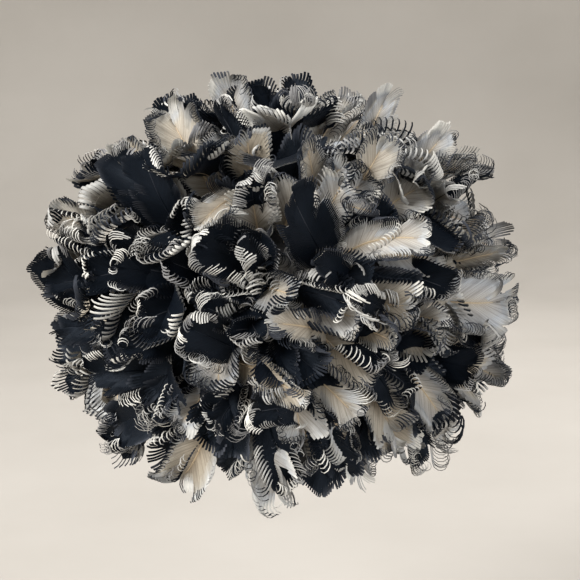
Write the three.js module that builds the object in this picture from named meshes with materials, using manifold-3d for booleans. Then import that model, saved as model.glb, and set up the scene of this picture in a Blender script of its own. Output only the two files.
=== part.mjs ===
// Feather hat: a bubble-shaped cap covered all over with broad feathers that are dark on one face and
// pale on the other. Millimetres, +Z up, -Y is the front, +X the right as seen from the front.
// The origin is the middle of the head opening, at the level of the rim.

import * as THREE from 'three';
import { mergeVertices } from 'three/addons/utils/BufferGeometryUtils.js';
import Module from 'manifold-3d';

// Driving dimensions of the cap
const OPENING_WIDTH = 177; // across the head opening, left to right
const OPENING_DEPTH = 202; // across the head opening, front to back
const CAP_HEIGHT = 178; // from the rim to the top of the hollow
const BULGE_LEVEL = 60; // height at which the cap is widest
const CAP_WALL = 2;
const CAP_SEGMENTS = 24; // facets round the cap
const CAP_ROWS = 9; // facets from the rim to the top

// Driving dimensions of the feather cover
const COVER_WIDTH = 308; // across the feather tips, left to right
const COVER_DEPTH = 320; // across the feather tips, front to back
const COVER_HEIGHT = 266; // from the cover's lowest level to its top
const COVER_DROP = 34; // how far the cover's lowest level lies below the rim
const SKIRT_SPREAD = 12; // how far the hanging tips stand outside the rim
const VIEW_DISTANCE = 1000; // from the middle of the hat to the eye that a chart of feathers is seen with
const BACKING = 1.4; // thickness of the strips that the feathers are sewn to
const QUILL_ROOT = 3; // how far below the top of the backing a shaft's line starts
const SEAT_GAP = 0.4; // between the cap and the backings
const PAD_GAP = 0.8; // between one pad and the next
const CLEARANCE = 0.35; // kept round a feather of a neighbouring pad
const SMALLEST_CHIP = 0.05; // shortest edge kept after a cut
const MERGE_REACH = 0.002; // corners closer than this are one

// Driving dimensions of one feather
const FEATHER_WIDTH = 27;
const FEATHER_THICKNESS = 2.2; // at the shaft, with the curled barbs of both edges
const FEATHER_ARCH = 0.16; // rise of the shaft at mid length, as a share of its length
const FEATHER_CUP = 0.32; // rise of the edges above the shaft, as a share of half the width

const DARK = new THREE.Color(0.02, 0.022, 0.03);
const PALE = new THREE.Color(0.74, 0.71, 0.64);
const BUCKRAM = new THREE.Color(0.05, 0.05, 0.055);

const degrees = THREE.MathUtils.degToRad;
const wasm = await Module();
wasm.setup();

// Ellipsoids: the cap's inside and outside, the bed that quills start on, and the cover of the tips
const BULGE_SPREAD = 1 / Math.sqrt(1 - (BULGE_LEVEL / (CAP_HEIGHT - BULGE_LEVEL)) ** 2);
const CAP_INSIDE = {
  half: new THREE.Vector3(
    (OPENING_WIDTH / 2) * BULGE_SPREAD,
    (OPENING_DEPTH / 2) * BULGE_SPREAD,
    CAP_HEIGHT - BULGE_LEVEL,
  ),
  level: BULGE_LEVEL,
};
const COVER = {
  half: new THREE.Vector3(COVER_WIDTH / 2, COVER_DEPTH / 2, COVER_HEIGHT / 2),
  level: COVER_HEIGHT / 2 - COVER_DROP,
};

function grown(shell, by) {
  return { half: shell.half.clone().addScalar(by), level: shell.level };
}

function between(inner, outer, share) {
  return {
    half: inner.half.clone().lerp(outer.half, share),
    level: THREE.MathUtils.lerp(inner.level, outer.level, share),
  };
}

const CAP_OUTSIDE = grown(CAP_INSIDE, CAP_WALL);
const BED = grown(CAP_OUTSIDE, SEAT_GAP + BACKING - QUILL_ROOT);
const SKIRT_HALF = new THREE.Vector3(
  OPENING_WIDTH / 2 + CAP_WALL + SKIRT_SPREAD,
  OPENING_DEPTH / 2 + CAP_WALL + SKIRT_SPREAD,
  Infinity,
);

// The height angle at which a shell meets the level of the rim, and the angle of each row above it
const rimAngle = (shell) => -Math.asin(shell.level / shell.half.z);
const rowAngle = (shell, row) => THREE.MathUtils.lerp(rimAngle(shell), Math.PI / 2, row / CAP_ROWS);

// The line of a shell from one row to another, as distance from the vertical and height
function shellArc(shell, firstRow, lastRow) {
  const rows = [firstRow];
  for (let row = Math.floor(firstRow) + 1; row < lastRow; row += 1) {
    rows.push(row);
  }
  rows.push(lastRow);
  return rows.map((row) => {
    const angle = rowAngle(shell, row);
    const radius = row === CAP_ROWS ? 0 : shell.half.x * Math.cos(angle);
    return new THREE.Vector2(radius, shell.level + shell.half.z * Math.sin(angle));
  });
}

// A layer between two shells, turned about the vertical and stretched from front to back
function turnedLayer(inner, outer, firstRow, lastRow) {
  const profile = [
    ...shellArc(inner, firstRow, lastRow).reverse(),
    ...shellArc(outer, firstRow, lastRow),
  ];
  if (lastRow < CAP_ROWS) {
    profile.push(profile[0].clone());
  }
  const layer = new THREE.LatheGeometry(profile, CAP_SEGMENTS);
  layer.rotateX(Math.PI / 2);
  layer.scale(1, outer.half.y / outer.half.x, 1);
  return layer;
}

// Geometry to a solid for joining and cutting, and back
function toSolid(geometry) {
  const bare = geometry.clone();
  bare.deleteAttribute('normal');
  bare.deleteAttribute('uv');
  const merged = mergeVertices(bare, MERGE_REACH);
  const corners = merged.index.array;
  const triangles = [];
  for (let i = 0; i < corners.length; i += 3) {
    const [a, b, c] = corners.slice(i, i + 3);
    if (a !== b && b !== c && c !== a) {
      triangles.push(a, b, c);
    }
  }
  return new wasm.Manifold(
    new wasm.Mesh({
      numProp: 3,
      vertProperties: new Float32Array(merged.attributes.position.array),
      triVerts: new Uint32Array(triangles),
    }),
  );
}

function toGeometry(solid) {
  const mesh = solid.getMesh();
  const geometry = new THREE.BufferGeometry();
  geometry.setAttribute('position', new THREE.BufferAttribute(mesh.vertProperties, mesh.numProp));
  geometry.setIndex(new THREE.BufferAttribute(mesh.triVerts, 1));
  geometry.computeVertexNormals();
  return geometry;
}

// Sections of four corners joined into one closed blade
function loft(sections) {
  const positions = sections.flat().flatMap((point) => point.toArray());
  const sides = sections[0].length;
  const triangles = [];
  for (let i = 0; i + 1 < sections.length; i += 1) {
    for (let j = 0; j < sides; j += 1) {
      const a = i * sides + j;
      const b = i * sides + ((j + 1) % sides);
      triangles.push(a, b, b + sides, a, b + sides, a + sides);
    }
  }
  const last = (sections.length - 1) * sides;
  triangles.push(0, 2, 1, 0, 3, 2, last, last + 1, last + 2, last, last + 2, last + 3);
  const geometry = new THREE.BufferGeometry();
  geometry.setAttribute('position', new THREE.Float32BufferAttribute(positions, 3));
  geometry.setIndex(triangles);
  return geometry;
}

// How a feather's blade widens and thickens from the quill to the tip: shares of its length, of half
// its width and of its thickness
const BLADE = [
  { along: 0.0, width: 0.14, thickness: 0.5 },
  { along: 0.34, width: 0.94, thickness: 1.0 },
  { along: 0.72, width: 0.96, thickness: 0.9 },
  { along: 1.0, width: 0.3, thickness: 0.5 },
];

// Charts: a chart is a view of the hat from one side. Its rows place feathers as they are seen from
// there, in half widths of the cover: where the quill starts, the clock angle that the feather points
// in (0 right, 90 up), how far it reaches, its width as a share of the usual one, which face shows,
// how far its tip rises towards the cover (1 is all the way) and how far it is rolled about its shaft.
const COLUMNS = ['across', 'up', 'heading', 'reach', 'width', 'face', 'rise', 'roll'];

const FRONT_ROWS = [
  // left, tips to the left and up
  [-0.43, 0.19, 131, 0.47, 1.25, 'dark', 1.0, 0],
  [-0.41, 0.19, 117, 0.42, 1.1, 'dark', 0.95, 0],
  [-0.7, 0.17, 136, 0.36, 0.4, 'dark', 0.8, 0],
  [-0.58, 0.33, 114, 0.28, 0.35, 'pale', 0.8, 0],
  [-0.62, 0.06, 132, 0.35, 1.1, 'dark', 0.85, 0],
  [-0.47, 0.04, 148, 0.33, 0.8, 'dark', 0.95, 0],
  [-0.68, -0.08, 141, 0.4, 1.5, 'dark', 1.0, 0],
  [-0.42, -0.04, 165, 0.36, 1.0, 'dark', 1.0, 0],
  [-0.66, -0.13, 169, 0.32, 0.55, 'dark', 0.9, 0],
  [-0.62, -0.17, 187, 0.33, 0.9, 'dark', 0.9, 0],
  [-0.39, -0.25, 187, 0.33, 0.75, 'dark', 0.95, 0],
  // lower left
  [-0.47, -0.4, 182, 0.35, 1.05, 'dark', 0.9, 0],
  [-0.33, -0.43, 208, 0.41, 1.2, 'dark', 1.0, 0],
  [-0.3, -0.44, 233, 0.25, 0.85, 'pale', 0.85, 0],
  [-0.14, -0.48, 231, 0.22, 0.85, 'dark', 0.9, 0],
  [-0.16, -0.31, 157, 0.33, 1.2, 'dark', 1.0, 0],
  // upper middle and left of it
  [-0.27, 0.35, 120, 0.43, 1.2, 'pale', 0.95, 0],
  [-0.16, 0.42, 112, 0.38, 0.75, 'dark', 1.0, 50],
  [-0.12, 0.44, 157, 0.27, 0.65, 'pale', 0.8, 0],
  [-0.1, 0.33, 207, 0.33, 1.0, 'pale', 0.9, 0],
  [-0.03, 0.31, 135, 0.19, 0.75, 'dark', 0.95, 0],
  [-0.07, 0.23, 102, 0.25, 1.0, 'dark', 0.9, 0],
  // middle
  [-0.1, 0.0, 153, 0.36, 1.45, 'dark', 1.0, 0],
  [-0.23, 0.04, 142, 0.23, 0.85, 'pale', 1.0, 0],
  [-0.07, 0.02, 125, 0.22, 0.75, 'dark', 1.0, 0],
  [0.2, 0.09, 118, 0.38, 1.5, 'dark', 1.0, 0],
  [0.28, -0.08, 138, 0.25, 0.9, 'dark', 1.0, 0],
  [0.45, -0.15, 157, 0.27, 0.9, 'dark', 1.0, 0],
  [-0.16, -0.15, 165, 0.24, 0.75, 'dark', 0.95, 0],
  [-0.07, -0.27, 168, 0.2, 0.6, 'dark', 0.9, 0],
  [0.2, -0.24, 169, 0.3, 0.9, 'pale', 0.95, 0],
  // top, with the rose-like whorl to the right
  [-0.03, 0.5, 93, 0.34, 0.95, 'dark', 0.95, 0],
  [0.01, 0.67, 57, 0.24, 0.5, 'dark', 1.0, 0],
  [0.03, 0.63, 35, 0.22, 0.6, 'dark', 1.0, 0],
  [0.22, 0.65, 34, 0.2, 0.55, 'dark', 1.0, 0],
  [0.17, 0.65, 84, 0.17, 0.6, 'dark', 0.95, 0],
  [0.15, 0.35, 100, 0.3, 1.0, 'pale', 0.95, 0],
  [0.24, 0.31, 56, 0.4, 1.1, 'pale', 1.0, 0],
  [0.43, 0.27, 92, 0.23, 0.5, 'dark', 1.0, 0],
  [0.4, 0.23, 155, 0.24, 0.7, 'pale', 0.9, 0],
  // upper right
  [0.43, 0.62, 77, 0.22, 0.85, 'pale', 1.0, 0],
  [0.49, 0.46, 40, 0.31, 0.9, 'pale', 1.0, 0],
  [0.51, 0.38, 21, 0.37, 0.85, 'pale', 1.0, 0],
  [0.8, 0.23, 71, 0.29, 0.65, 'dark', 1.0, -40],
  [0.51, 0.23, 87, 0.17, 0.45, 'dark', 0.95, 0],
  [0.53, 0.23, 32, 0.21, 0.65, 'dark', 0.95, 0],
  [0.7, 0.17, 46, 0.26, 0.75, 'pale', 0.95, 0],
  // right
  [0.25, 0.09, 10, 0.44, 1.1, 'pale', 1.0, 0],
  [0.48, -0.05, -4, 0.51, 1.5, 'pale', 1.0, 0],
  [0.68, 0.08, 9, 0.32, 0.7, 'pale', 0.85, 0],
  [0.49, -0.17, -7, 0.26, 0.75, 'pale', 0.95, 0],
  [0.68, -0.23, 31, 0.19, 0.65, 'dark', 1.0, 0],
  [0.61, -0.31, -14, 0.26, 1.1, 'dark', 0.95, 0],
  [0.78, -0.35, -27, 0.23, 0.85, 'pale', 0.9, 0],
  // lower middle and right
  [-0.21, -0.34, -29, 0.4, 1.0, 'pale', 1.0, 0],
  [0.13, -0.56, 184, 0.3, 1.1, 'dark', 1.0, 0],
  [-0.07, -0.65, 226, 0.24, 0.6, 'dark', 0.9, 0],
  [0.11, -0.38, -44, 0.32, 1.0, 'pale', 0.95, 0],
  [0.28, -0.22, -16, 0.25, 0.8, 'pale', 0.95, 0],
  [0.39, -0.29, -56, 0.15, 0.6, 'dark', 1.0, 0],
  [0.49, -0.33, -53, 0.35, 1.1, 'pale', 1.0, 0],
  [0.4, -0.48, -63, 0.28, 0.8, 'pale', 0.9, 0],
  [0.24, -0.67, 228, 0.25, 1.0, 'dark', 1.0, 0],
  [0.32, -0.63, -84, 0.22, 0.65, 'pale', 0.95, 0],
  [0.55, -0.58, -82, 0.23, 0.8, 'dark', 0.9, 0],
  [0.72, -0.48, -38, 0.17, 0.5, 'pale', 0.9, 0],
  [0.09, -0.63, -75, 0.17, 0.55, 'pale', 0.85, 0],
  [0.22, -0.58, -68, 0.22, 0.75, 'dark', 0.95, 0],
];

// Belts of feathers round the sides and back, each feather seen straight on from its own direction:
// how far above the level the belt lies, where it starts and ends on its way round, how many feathers
// it has, and how far they reach and rise
const BELTS = [
  { above: -36, from: 82, to: 278, count: 10, reach: 0.36, rise: 0.95 },
  { above: -10, from: 70, to: 290, count: 13, reach: 0.38, rise: 1.0 },
  { above: 16, from: 82, to: 278, count: 12, reach: 0.38, rise: 0.97 },
  { above: 42, from: 74, to: 286, count: 9, reach: 0.38, rise: 1.0 },
  { above: 70, from: 90, to: 270, count: 4, reach: 0.36, rise: 0.97 },
];
const BELT_HEADING = -66; // the belts' feathers point down and a little to the right
const BELT_SCATTER = 70; // how much their headings vary
const BELT_WIDTH = 1.15; // the narrowest, as a share of the usual width
const BELT_WIDENING = 0.45; // how much wider the widest is
const BELT_DARK_SHARE = 0.55;

// Evenly scattered shares from 0 to 1, the same every time
const SCATTER = { heading: 0.618034, reach: 0.754878, width: 0.56984, face: 0.41421 };
const scatter = (number, step) => ((number + 1) * step) % 1;

function rowsFromTable(table) {
  return table.map((row) => Object.fromEntries(COLUMNS.map((name, i) => [name, row[i]])));
}

// Each chart's view: the way round the hat (0 is the front, 90 the right) and up, in degrees, and how
// far its feathers turn their faces to that view
const FRONT_CHART = { round: 0, above: 10, facing: 0.8, rows: rowsFromTable(FRONT_ROWS) };

function beltCharts() {
  const charts = [];
  for (const belt of BELTS) {
    for (let i = 0; i < belt.count; i += 1) {
      const number = charts.length;
      const row = {
        across: 0,
        up: 0,
        heading: BELT_HEADING + BELT_SCATTER * (scatter(number, SCATTER.heading) - 0.5),
        reach: belt.reach * (0.85 + 0.3 * scatter(number, SCATTER.reach)),
        width: BELT_WIDTH + BELT_WIDENING * scatter(number, SCATTER.width),
        face: scatter(number, SCATTER.face) < BELT_DARK_SHARE ? 'dark' : 'pale',
        rise: belt.rise,
        roll: 0,
      };
      const round = THREE.MathUtils.lerp(belt.from, belt.to, (i + 0.5) / belt.count);
      charts.push({ round, above: belt.above, facing: 0, rows: [row] });
    }
  }
  return charts;
}

const CHARTS = [FRONT_CHART, ...beltCharts()];

function viewOf(chart) {
  const round = degrees(chart.round);
  const above = degrees(chart.above);
  const right = new THREE.Vector3(Math.cos(round), Math.sin(round), 0);
  const toViewer = new THREE.Vector3(
    Math.sin(round) * Math.cos(above),
    -Math.cos(round) * Math.cos(above),
    Math.sin(above),
  );
  const up = new THREE.Vector3().crossVectors(toViewer, right);
  const eye = new THREE.Vector3(0, 0, COVER.level).addScaledVector(toViewer, VIEW_DISTANCE);
  return { right, up, toViewer, eye };
}

function sightLine(view, place) {
  return view.eye.clone().sub(place).normalize();
}

// How far a place moves towards the viewer to reach an ellipsoid about the origin. Where it misses,
// depth is negative and the travel leads to the nearest approach.
function travelTo(half, place, direction) {
  const start = place.clone().divide(half);
  const step = direction.clone().divide(half);
  const nearest = -start.dot(step) / step.lengthSq();
  const depth = nearest ** 2 - (start.lengthSq() - 1) / step.lengthSq();
  return { depth, travel: nearest + Math.sqrt(Math.max(depth, 0)) };
}

function placeInView(view, across, up) {
  return new THREE.Vector3(0, 0, COVER.level)
    .addScaledVector(view.right, across * COVER.half.x)
    .addScaledVector(view.up, up * COVER.half.x);
}

// A quill's place: on the bed, at its outline where the view passes it by
function onBed(view, across, up) {
  const place = placeInView(view, across, up);
  const sight = sightLine(view, place);
  place.z -= BED.level;
  const { depth, travel } = travelTo(BED.half, place, sight);
  place.addScaledVector(sight, travel);
  if (depth < 0) {
    place.divideScalar(place.clone().divide(BED.half).length());
  }
  place.z += BED.level;
  return place;
}

// A tip's place: on the cover or short of it, and below the rim on a skirt that hangs round the head
function underCover(view, across, up, rise) {
  const shell = between(BED, COVER, rise);
  const place = placeInView(view, across, up);
  const sight = sightLine(view, place);
  place.z -= shell.level;
  place.addScaledVector(sight, travelTo(shell.half, place, sight).travel);
  place.z += shell.level;
  if (place.z < BULGE_LEVEL) {
    const ahead = sight.setZ(Math.max(sight.z, 0)).normalize();
    place.addScaledVector(ahead, Math.max(travelTo(SKIRT_HALF, place, ahead).travel, 0));
  }
  return place;
}

// Pads: rows of the cap from the rim up, each shared out between sectors that start at a way round
const TIERS = [
  {
    rows: [0, 3],
    sectors: [
      { name: 'rim_front_left', from: -60 },
      { name: 'rim_front_right', from: 0 },
      { name: 'rim_right', from: 60 },
      { name: 'rim_back_right', from: 120 },
      { name: 'rim_back_left', from: 180 },
      { name: 'rim_left', from: 240 },
    ],
  },
  {
    rows: [3, 6],
    sectors: [
      { name: 'side_front', from: -36 },
      { name: 'side_right', from: 36 },
      { name: 'side_back_right', from: 108 },
      { name: 'side_back_left', from: 180 },
      { name: 'side_left', from: 252 },
    ],
  },
  {
    rows: [6, 9],
    sectors: [
      { name: 'crown_right', from: 0 },
      { name: 'crown_back', from: 120 },
      { name: 'crown_left', from: 240 },
    ],
  },
];

const QUILL_INSET = 5; // least distance from a quill to the edge of its pad
const LIFT_FROM_RIM = 4; // the lowest pads start this far above the rim
const ROW_HEIGHT = (BED.half.z * (Math.PI / 2 - rimAngle(BED))) / CAP_ROWS;

// Where a point of the bed is: its way round in degrees and its row
function placeOnBed(point) {
  const round = THREE.MathUtils.radToDeg(Math.atan2(point.x / BED.half.x, -point.y / BED.half.y));
  const sine = THREE.MathUtils.clamp((point.z - BED.level) / BED.half.z, -1, 1);
  const row = (CAP_ROWS * (Math.asin(sine) - rimAngle(BED))) / (Math.PI / 2 - rimAngle(BED));
  return { round, row };
}

function bedPoint(round, row) {
  const rise = rowAngle(BED, row);
  return new THREE.Vector3(
    BED.half.x * Math.cos(rise) * Math.sin(degrees(round)),
    -BED.half.y * Math.cos(rise) * Math.cos(degrees(round)),
    BED.level + BED.half.z * Math.sin(rise),
  );
}

// The pad that a quill starts on, and the quill's place kept clear of that pad's edges
function settle(point) {
  const place = placeOnBed(point);
  const rowInset = QUILL_INSET / ROW_HEIGHT;
  const firstRow = (LIFT_FROM_RIM + QUILL_INSET) / ROW_HEIGHT;
  const tier = TIERS.find((each) => place.row <= each.rows[1]) ?? TIERS.at(-1);
  const low = tier.rows[0] === 0 ? firstRow : tier.rows[0] + rowInset;
  const high = tier.rows[1] === CAP_ROWS ? CAP_ROWS : tier.rows[1] - rowInset;
  const row = THREE.MathUtils.clamp(place.row, low, high);
  if (tier.sectors.length === 1) {
    return { pad: tier.sectors[0].name, point: bedPoint(place.round, row) };
  }
  const span = 360 / tier.sectors.length;
  const turn = THREE.MathUtils.euclideanModulo(place.round - tier.sectors[0].from, 360);
  const index = Math.floor(turn / span);
  const radius = BED.half.x * Math.cos(rowAngle(BED, row));
  const inset = THREE.MathUtils.radToDeg(QUILL_INSET / radius);
  const kept = THREE.MathUtils.clamp(turn - index * span, inset, span - inset);
  const round = tier.sectors[0].from + index * span + kept;
  return { pad: tier.sectors[index].name, point: bedPoint(round, row) };
}

// One feather: the pad it grows from, its curved shaft, the side direction and the outward direction
function growFeather(chart, row) {
  const view = viewOf(chart);
  const { pad, point: quill } = settle(onBed(view, row.across, row.up));
  const heading = degrees(row.heading);
  const tip = underCover(
    view,
    row.across + row.reach * Math.cos(heading),
    row.up + row.reach * Math.sin(heading),
    row.rise,
  );
  const along = tip.clone().sub(quill);
  const length = along.length();
  along.normalize();
  const middle = quill.clone().lerp(tip, 0.5);
  const outward = middle.clone().setZ(middle.z - BED.level).divide(BED.half).divide(BED.half);
  outward.normalize().addScaledVector(view.toViewer, chart.facing);
  outward.addScaledVector(along, -outward.dot(along)).normalize();
  outward.applyAxisAngle(along, degrees(row.roll));
  const side = new THREE.Vector3().crossVectors(along, outward);
  const bend = middle.addScaledVector(outward, 2 * FEATHER_ARCH * length);
  const shaft = new THREE.QuadraticBezierCurve3(quill, bend, tip);
  return { pad, shaft, side, width: row.width * FEATHER_WIDTH, face: row.face };
}

// The blade of a feather, grown on all sides by a margin
function bladeSolid(feather, margin) {
  const sections = BLADE.map((station) => {
    const middle = feather.shaft.getPoint(station.along);
    const along = feather.shaft.getTangent(station.along);
    const outward = new THREE.Vector3().crossVectors(feather.side, along).normalize();
    if (station.along === 0 || station.along === 1) {
      middle.addScaledVector(along, station.along === 0 ? -margin : margin);
    }
    const reach = (station.width * feather.width) / 2 + 2 * margin;
    const lift = reach * FEATHER_CUP;
    const half = (station.thickness * FEATHER_THICKNESS) / 2 + margin;
    return [
      middle.clone().addScaledVector(feather.side, -reach).addScaledVector(outward, lift),
      middle.clone().addScaledVector(outward, half),
      middle.clone().addScaledVector(feather.side, reach).addScaledVector(outward, lift),
      middle.clone().addScaledVector(outward, -half),
    ];
  });
  return toSolid(loft(sections));
}

function capMesh() {
  const solid = toSolid(turnedLayer(CAP_INSIDE, CAP_OUTSIDE, 0, CAP_ROWS));
  const material = new THREE.MeshStandardMaterial({ color: BUCKRAM, roughness: 0.95, metalness: 0 });
  const mesh = new THREE.Mesh(toGeometry(solid), material);
  mesh.name = 'cap';
  return mesh;
}

// The strip of backing that one pad's quills are sewn to, grown on all sides by a margin
function backingSolid(tier, sector, margin) {
  const inner = grown(CAP_OUTSIDE, SEAT_GAP - margin);
  const outer = grown(CAP_OUTSIDE, SEAT_GAP + BACKING + margin);
  const inset = (PAD_GAP / 2 - margin) / ROW_HEIGHT;
  const low = tier.rows[0] === 0 ? (LIFT_FROM_RIM - margin) / ROW_HEIGHT : tier.rows[0] + inset;
  const high = tier.rows[1] === CAP_ROWS ? CAP_ROWS : tier.rows[1] - inset;
  const ring = toSolid(turnedLayer(inner, outer, low, high));
  if (tier.sectors.length === 1) {
    return ring;
  }
  const halfSpan = Math.PI / tier.sectors.length;
  const stretch = BED.half.y / BED.half.x;
  const ray = (turn) => new THREE.Vector2(Math.sin(turn), -stretch * Math.cos(turn));
  const middle = degrees(sector.from) + halfSpan;
  const outline = [-1, 0, 1].map((step) => ray(middle + step * halfSpan).multiplyScalar(COVER_WIDTH));
  const wedge = new THREE.Shape([new THREE.Vector2(0, 0), ...outline]);
  const block = new THREE.ExtrudeGeometry(wedge, { depth: COVER_HEIGHT, bevelEnabled: false });
  const shift = ray(middle).multiplyScalar((PAD_GAP / 2 - margin) / Math.sin(halfSpan));
  block.translate(shift.x, shift.y, -COVER_DROP);
  return ring.intersect(toSolid(block));
}

// The whole space inside the cap's outside, with a little clearance
function capSpace() {
  const skin = grown(CAP_OUTSIDE, SEAT_GAP * 0.8);
  const dome = shellArc(skin, 0, CAP_ROWS);
  const foot = new THREE.Vector2(dome[0].x, -COVER_DROP);
  const profile = [new THREE.Vector2(0, -COVER_DROP), foot, ...dome];
  const space = new THREE.LatheGeometry(profile, CAP_SEGMENTS);
  space.rotateX(Math.PI / 2);
  space.scale(1, skin.half.y / skin.half.x, 1);
  return toSolid(space);
}

// All pads: feathers are cut clear of the cap, of the other backings and of the feathers of the pads
// before them, and what a cut leaves loose falls away
function growPads() {
  const pads = TIERS.flatMap((tier) => tier.sectors.map((sector) => ({ tier, sector, feathers: [] })));
  for (const chart of CHARTS) {
    for (const row of chart.rows) {
      const feather = growFeather(chart, row);
      pads.find((pad) => pad.sector.name === feather.pad).feathers.push(feather);
    }
  }
  const meshes = [];
  let taken = capSpace();
  for (const pad of pads) {
    const others = pads.filter((each) => each !== pad);
    const backings = others.map((each) => backingSolid(each.tier, each.sector, CLEARANCE));
    const blades = wasm.Manifold.union(pad.feathers.map((feather) => bladeSolid(feather, 0)));
    const free = blades.subtract(wasm.Manifold.union([taken, ...backings]));
    const whole = free.add(backingSolid(pad.tier, pad.sector, 0)).simplify(SMALLEST_CHIP);
    const bodies = whole.decompose().sort((a, b) => b.volume() - a.volume());
    taken = wasm.Manifold.union([taken, ...pad.feathers.map((feather) => bladeSolid(feather, CLEARANCE))]);
    const paleShare = pad.feathers.filter((feather) => feather.face === 'pale').length / pad.feathers.length;
    const color = DARK.clone().lerp(PALE, paleShare);
    const material = new THREE.MeshStandardMaterial({ color, roughness: 0.7, metalness: 0 });
    const mesh = new THREE.Mesh(toGeometry(bodies[0]), material);
    mesh.name = pad.sector.name;
    meshes.push(mesh);
  }
  return meshes;
}

const hat = new THREE.Group();
hat.name = 'feather_hat';
hat.add(capMesh(), ...growPads());

export default hat;
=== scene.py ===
import math

import bpy
import numpy as np
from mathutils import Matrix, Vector


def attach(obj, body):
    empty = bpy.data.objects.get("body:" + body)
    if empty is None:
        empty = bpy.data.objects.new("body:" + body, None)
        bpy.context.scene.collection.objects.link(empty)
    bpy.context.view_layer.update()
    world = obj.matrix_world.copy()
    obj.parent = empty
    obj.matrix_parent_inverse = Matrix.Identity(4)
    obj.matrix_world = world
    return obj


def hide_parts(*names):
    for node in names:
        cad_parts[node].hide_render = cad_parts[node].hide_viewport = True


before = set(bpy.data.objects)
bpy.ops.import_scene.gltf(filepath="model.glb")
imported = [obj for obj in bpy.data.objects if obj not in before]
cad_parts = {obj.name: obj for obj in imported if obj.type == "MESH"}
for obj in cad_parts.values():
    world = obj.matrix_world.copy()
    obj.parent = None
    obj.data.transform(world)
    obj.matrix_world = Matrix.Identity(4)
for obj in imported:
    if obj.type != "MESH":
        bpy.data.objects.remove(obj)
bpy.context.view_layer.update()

MM = 0.001

# Sizes of the cap and of the cover of feather tips, as the solids have them
OPENING_WIDTH = 177 * MM
OPENING_DEPTH = 202 * MM
CAP_HEIGHT = 178 * MM
BULGE_LEVEL = 60 * MM
CAP_WALL = 2 * MM
CAP_ROWS = 9
COVER_WIDTH = 308 * MM
COVER_DEPTH = 320 * MM
COVER_HEIGHT = 266 * MM
COVER_DROP = 34 * MM  # how far the cover's lowest level lies below the rim
SKIRT_SPREAD = 12 * MM  # how far the hanging tips stand outside the rim
VIEW_DISTANCE = 1000 * MM  # from the hat's middle to the eye that each table of feathers is for
FRONT_ABOVE = 10  # degrees above the level that the front is seen from
BACKING = 1.4 * MM
SEAT_GAP = 0.4 * MM
QUILL_ROOT = 3 * MM
QUILL_INSET = 5 * MM
LIFT_FROM_RIM = 4 * MM
FEATHER_WIDTH = 27 * MM
FEATHER_ARCH = 0.16

# One real feather: its vane is cut into narrow barb strips whose ends curl over the face
BLACK, IVORY, SHAFT = 0, 1, 2  # material slots of every piece of feathers
SHAFT_END = 0.8  # where the shaft ends, as a share of the feather
SHAFT_ROWS = 14
SHAFT_RADIUS = 0.95 * MM
SHAFT_TAPER = 0.75  # share of its radius that the shaft loses towards the tip
SHAFT_DEPTH = 0.6  # of the shaft below its line, as a share of its radius
SMALLEST_COSINE = 0.1  # of the angle between barb and shaft, where the feather's end limits a barb
SMOOTH_UP_TO = math.radians(62)
VANE_THICKNESS = 0.3 * MM
VANE_ROWS = 22
VANE_COLUMNS = 4
VANE_START = 0.04  # as a share of the shaft
VANE_SHORT = 0.05  # how far the vane ends inside the start of the curls, as a share of the barb
VANE_EDGE = 0.6  # the vane's edge value at the barbs' full length; it is 0 at the shaft
STRIP_EDGE = 0.55  # a strip's edge value where it starts; it is 1 at its end
STRIP_PITCH = 1.5 * MM  # along the outline of the feather
FEWEST_STRIPS = 8
OUTLINE_SAMPLES = 60  # that the outline is measured with
FIRST_STRIP = 0.06  # where the first strip stands, as a share of the shaft
STRIP_LAP = 1.05  # width of a strip as a share of its room beside the next
SMALLEST_ROOM = 0.3 * MM
STRIP_THICKNESS = 0.5 * MM
STRIP_THINNING = 0.5  # share of its thickness that a strip loses towards its end
STRIP_NARROWING = 0.1  # of every strip where it leaves the vane
NARROWING_POWER = 0.8  # how soon a strip narrows on its way
STRIP_TONE = 0.1  # how far the tones of one lock's strips scatter
TONE_BLEND = 3  # a strip has its own tone after one part in so many of its length
STRIP_STAND_OFF = 0.15 * MM  # of a strip above the vane where its curl starts
STRIP_OVERLAP = 0.2  # how far a strip's root lies on the vane, as a share of the barb
LEAN_STEPS = 3  # a curl leans over more and more in its first steps
SHALLOWEST = 0.34  # least share of its barb that a strip covers before it curls
OUTMOST = (0.94, 1.06)  # least and largest share of its barb that a flat lock covers
SPLIT_SHARE = 0.14  # share of the locks that part from the vane deep down
SPLIT_DEPTH = 0.68  # where these part from it, as a share of the barb

# Kinds of locks: how far a strip turns in degrees and its radius in mm, how loosely the strips lie,
# how far they lean and narrow, by how many degrees each gathers to the next one, the share of its
# radius that a curl loses towards its end, and how many steps it is made in
LOCK_COLUMNS = (
    "turn_from", "turn_to", "radius_from", "radius_to", "loose", "lean", "narrowing", "gather",
    "tightening", "steps",
)
LOCK_KINDS = {
    "flat": (5, 50, 6.0, 10.0, 0.02, 0.3, 0.20, 2.5, 0.0, 2),
    "tongue": (90, 200, 5.0, 9.0, 0.03, 0.5, 0.24, 2.4, 0.2, 5),
    "plume": (80, 210, 6.0, 12.0, 0.04, 0.7, 0.34, 1.8, 0.4, 6),
    "roll": (180, 330, 3.2, 6.0, 0.08, 0.6, 0.70, 0.8, 0.35, 7),
    "ringlet": (300, 480, 2.2, 4.4, 0.12, 1.0, 0.66, -0.5, 0.5, 9),
}
KIND_NAMES = tuple(LOCK_KINDS)
DARK_KINDS = (0.28, 0.12, 0.12, 0.28, 0.20)  # shares of the kinds on dark feathers
PALE_KINDS = (0.12, 0.14, 0.16, 0.28, 0.30)
CALM_DARK = 0.5  # share of the dark feathers' edges that are calm
CALM_PALE = 0.15
CALM_FLAT = 0.85  # share of the locks that stay flat on a calm edge
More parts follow.
